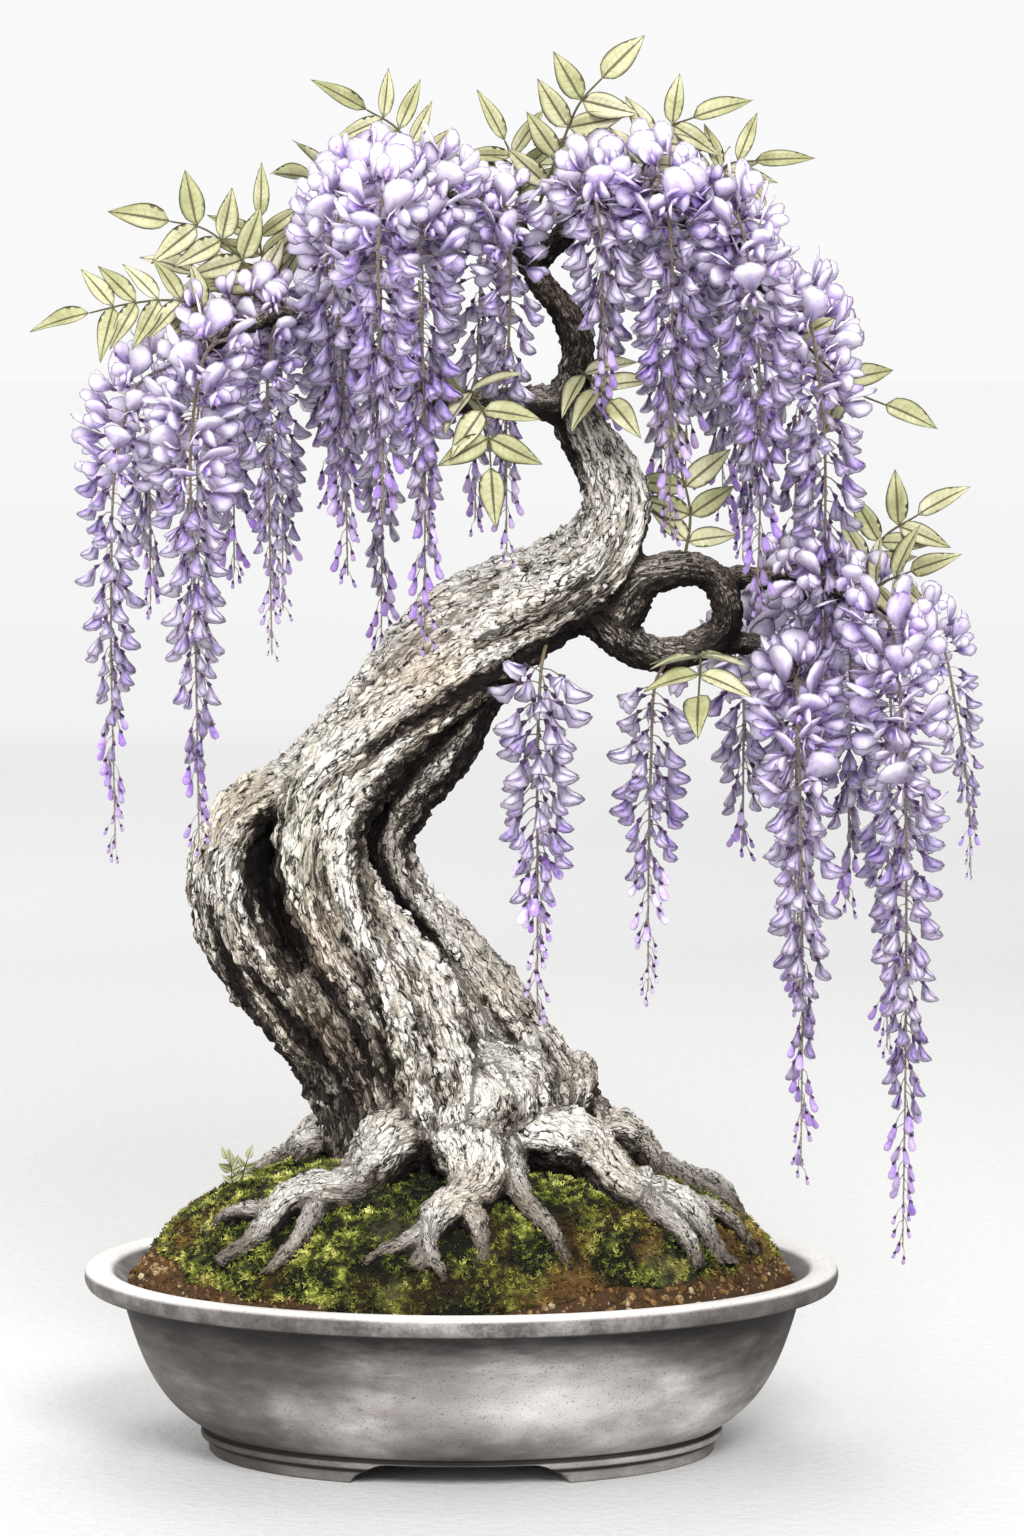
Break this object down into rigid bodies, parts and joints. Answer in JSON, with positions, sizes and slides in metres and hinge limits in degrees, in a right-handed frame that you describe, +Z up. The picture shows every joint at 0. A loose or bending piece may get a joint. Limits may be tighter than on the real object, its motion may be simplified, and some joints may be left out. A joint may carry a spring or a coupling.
{
  "type": "wisteria bonsai",
  "caption": "Flowering wisteria bonsai: a leaning gnarled trunk, hanging violet racemes and feathery leaves over a mossy mound in an oval stoneware pot with bracket feet.",
  "frame": {"origin": "on the surface the pot stands on, under the middle of the whole plant's box", "axes": "+Z up, +Y away from the show side, +X to the right of the show side along the pot's length"},
  "size_m": [0.5023, 0.2905, 0.7461],
  "materials": {
    "stoneware": "unglazed, matt, mottled",
    "soil": "loose granules, matt",
    "moss": "short moss pile",
    "bark": "rough fissured bark",
    "petals": "soft petals, slightly translucent",
    "foliage": "thin satin leaves"
  },
  "bodies": {
    "root": {"pot": "stoneware", "soil": "soil", "moss": "moss", "trunk": "bark", "raceme_01": "petals", "raceme_02": "petals", "raceme_03": "petals", "raceme_04": "petals", "raceme_05": "petals", "raceme_06": "petals", "raceme_07": "petals", "raceme_08": "petals", "raceme_09": "petals", "raceme_10": "petals", "raceme_11": "petals", "raceme_12": "petals", "raceme_13": "petals", "raceme_14": "petals", "raceme_15": "petals", "raceme_16": "petals", "raceme_17": "petals", "raceme_18": "petals", "raceme_19": "petals", "raceme_20": "petals", "raceme_21": "petals", "raceme_22": "petals", "raceme_23": "petals", "raceme_24": "petals", "raceme_25": "petals", "raceme_26": "petals", "raceme_27": "petals", "raceme_28": "petals", "raceme_29": "petals", "raceme_30": "petals", "raceme_31": "petals", "raceme_32": "petals", "raceme_33": "petals", "raceme_34": "petals", "raceme_35": "petals", "raceme_36": "petals", "leaf_01": "foliage", "leaf_02": "foliage", "leaf_03": "foliage", "leaf_04": "foliage", "leaf_05": "foliage", "leaf_06": "foliage", "leaf_07": "foliage", "leaf_08": "foliage", "leaf_09": "foliage", "leaf_10": "foliage", "leaf_11": "foliage", "leaf_12": "foliage", "leaf_13": "foliage", "leaf_14": "foliage", "leaf_15": "foliage", "leaf_16": "foliage", "leaf_17": "foliage", "leaf_18": "foliage", "leaf_19": "foliage", "leaf_20": "foliage"}
  },
  "joints": []
}
